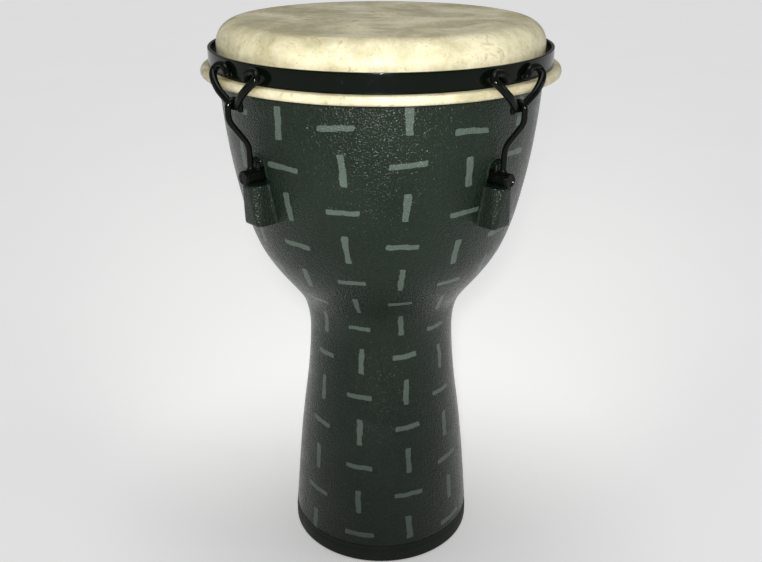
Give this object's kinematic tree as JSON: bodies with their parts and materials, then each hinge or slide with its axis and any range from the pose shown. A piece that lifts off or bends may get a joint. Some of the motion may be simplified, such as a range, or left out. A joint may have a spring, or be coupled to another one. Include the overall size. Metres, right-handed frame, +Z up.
{
  "type": "djembe",
  "caption": "Goblet hand drum with a printed cloth cover, film head, black counter hoop, V hooks, draw rods and tuning bolts in moulded bosses.",
  "frame": {"origin": "centre of the foot, on the floor", "axes": "+Z up the drum's axis towards the head, -Y towards the front, +X to the right seen from the front"},
  "size_m": [0.3404, 0.3404, 0.5595],
  "materials": {
    "shell": "pressed fibre, sealed, satin",
    "print_cloth": "printed cloth under a thin clear coat",
    "foot_rubber": "matte",
    "head_film": "mottled parchment film",
    "gloss_black": "gloss",
    "rod_black": "gloss",
    "barrel_black": "semi-gloss",
    "bolt_steel": "black oxide",
    "zinc_steel": "zinc plated"
  },
  "bodies": {
    "drum": {"shell": "shell", "print_cover": "print_cloth", "foot_ring": "foot_rubber", "bolt_washer_front_right": "zinc_steel", "bolt_washer_back_right": "zinc_steel", "bolt_washer_back_left": "zinc_steel", "bolt_washer_front_left": "zinc_steel"},
    "head": {"flesh_hoop": "zinc_steel", "head_film": "head_film"},
    "tension_rim": {"counter_hoop": "gloss_black", "v_hook_front_right": "rod_black", "v_hook_back_right": "rod_black", "v_hook_back_left": "rod_black", "v_hook_front_left": "rod_black", "draw_rod_front_right": "rod_black", "draw_rod_back_right": "rod_black", "draw_rod_back_left": "rod_black", "draw_rod_front_left": "rod_black", "barrel_nut_front_right": "barrel_black", "barrel_nut_back_right": "barrel_black", "barrel_nut_back_left": "barrel_black", "barrel_nut_front_left": "barrel_black"},
    "bolt_front_right": {"tuning_bolt_front_right": "bolt_steel"},
    "bolt_back_right": {"tuning_bolt_back_right": "bolt_steel"},
    "bolt_back_left": {"tuning_bolt_back_left": "bolt_steel"},
    "bolt_front_left": {"tuning_bolt_front_left": "bolt_steel"}
  },
  "joints": [
    {"name": "rim_lift", "type": "slide", "parent": "drum", "child": "tension_rim", "axis": [0, 0, 1], "range_m": [0, 0.006]},
    {"name": "head_lift", "type": "slide", "parent": "drum", "child": "head", "axis": [0, 0, 1], "range_m": [0, 0.006]},
    {"name": "bolt_turn_front_right", "type": "hinge", "parent": "drum", "child": "bolt_front_right", "pos_m": [0.10536, -0.10536, 0.398], "axis": [0, 0, 1], "range_deg": [-2160.5, 0]},
    {"name": "bolt_turn_back_right", "type": "hinge", "parent": "drum", "child": "bolt_back_right", "pos_m": [0.10536, 0.10536, 0.398], "axis": [0, 0, 1], "range_deg": [-2160.5, 0]},
    {"name": "bolt_turn_back_left", "type": "hinge", "parent": "drum", "child": "bolt_back_left", "pos_m": [-0.10536, 0.10536, 0.398], "axis": [0, 0, 1], "range_deg": [-2160.5, 0]},
    {"name": "bolt_turn_front_left", "type": "hinge", "parent": "drum", "child": "bolt_front_left", "pos_m": [-0.10536, -0.10536, 0.398], "axis": [0, 0, 1], "range_deg": [-2160.5, 0]}
  ],
  "couplings": [
    {"joint": "head_lift", "follows": "rim_lift", "ratio": 1},
    {"joint": "bolt_turn_front_right", "follows": "rim_lift", "rad_per_m": -6283.2},
    {"joint": "bolt_turn_back_right", "follows": "rim_lift", "rad_per_m": -6283.2},
    {"joint": "bolt_turn_back_left", "follows": "rim_lift", "rad_per_m": -6283.2},
    {"joint": "bolt_turn_front_left", "follows": "rim_lift", "rad_per_m": -6283.2}
  ]
}
